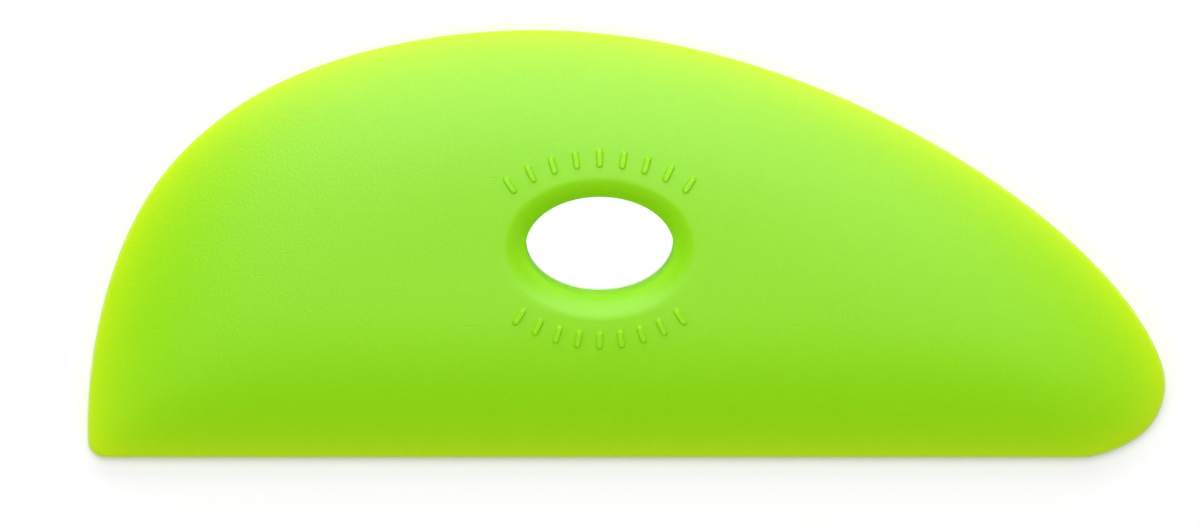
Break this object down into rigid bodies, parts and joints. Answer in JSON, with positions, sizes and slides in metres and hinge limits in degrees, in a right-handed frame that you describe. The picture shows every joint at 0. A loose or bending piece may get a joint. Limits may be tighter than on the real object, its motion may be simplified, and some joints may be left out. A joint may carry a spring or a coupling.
{
  "type": "pottery rib",
  "caption": "Soft moulded pottery rib with a straight edge, a long curved edge, a thick middle tapering to thin rims, and an oval finger hole.",
  "frame": {"origin": "middle of the bounding box in plan, on the flat back that the rib lies on", "axes": "+X along the straight edge towards the narrow nose, +Y across the blade from the straight edge to the curved edge, +Z out of the domed front"},
  "size_m": [0.127, 0.0508, 0.0067],
  "materials": {
    "soft_polyurethane": "satin, slightly translucent, as moulded"
  },
  "bodies": {
    "root": {"rib": "soft_polyurethane"}
  },
  "joints": []
}
